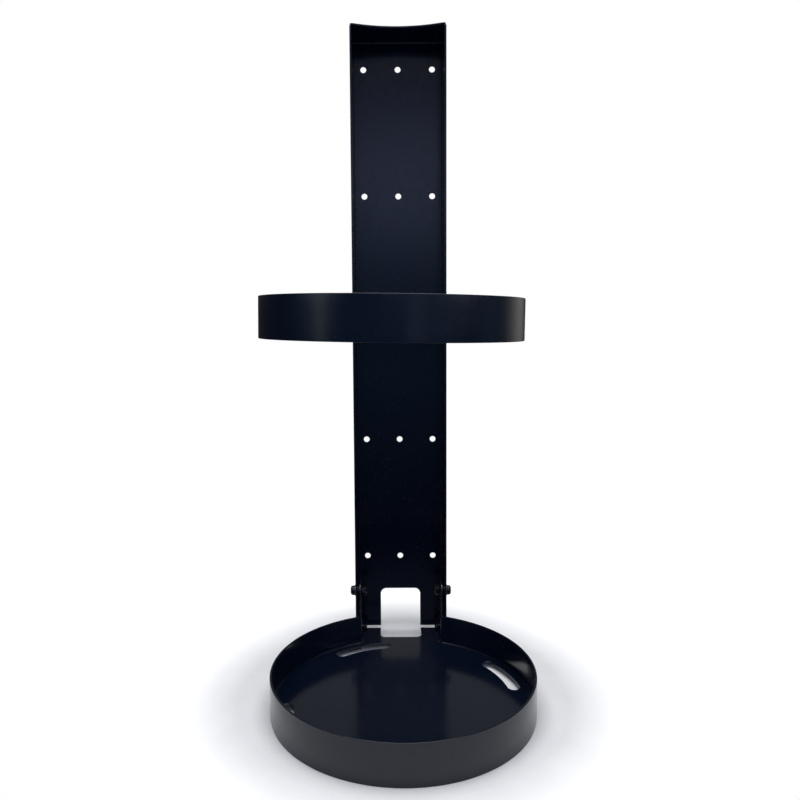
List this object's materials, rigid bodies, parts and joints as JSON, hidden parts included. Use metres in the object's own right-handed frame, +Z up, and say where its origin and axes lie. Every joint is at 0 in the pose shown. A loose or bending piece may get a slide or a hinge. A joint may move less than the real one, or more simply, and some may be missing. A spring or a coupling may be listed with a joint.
{
  "type": "umbrella stand",
  "caption": "Free-standing umbrella stand: round drip tray, tall folded sheet-metal column that folds forward on two pivot bolts, and a screwed-on hoop that keeps umbrellas upright.",
  "frame": {"origin": "on the ground, under the middle of the stand's bounding box", "axes": "+Z up, +Y towards the wall behind the column, +X to the right as seen from the front"},
  "size_m": [0.2539, 0.2972, 0.6718],
  "materials": {
    "coated_steel": "satin black powder coat with a fine orange-peel texture",
    "black_fastener": "black zinc-plated steel, semi-gloss"
  },
  "bodies": {
    "foot": {"tray_floor": "coated_steel", "tray_rim": "coated_steel"},
    "upright": {"column": "coated_steel", "hoop_bracket": "coated_steel", "hoop_band": "coated_steel", "pivot_bolt_left": "black_fastener", "pivot_washer_left": "black_fastener", "pivot_spacer_left": "black_fastener", "pivot_nut_left": "black_fastener", "pivot_bolt_right": "black_fastener", "pivot_washer_right": "black_fastener", "pivot_spacer_right": "black_fastener", "pivot_nut_right": "black_fastener", "hoop_screw_left": "black_fastener", "hoop_washer_left": "black_fastener", "hoop_nut_left": "black_fastener", "hoop_screw_middle": "black_fastener", "hoop_washer_middle": "black_fastener", "hoop_nut_middle": "black_fastener", "hoop_screw_right": "black_fastener", "hoop_washer_right": "black_fastener", "hoop_nut_right": "black_fastener"}
  },
  "joints": [
    {"name": "column_fold", "type": "hinge", "parent": "foot", "child": "upright", "pos_m": [0, 0.11142, 0.0594], "axis": [1, 0, 0], "range_deg": [0, 57]}
  ]
}
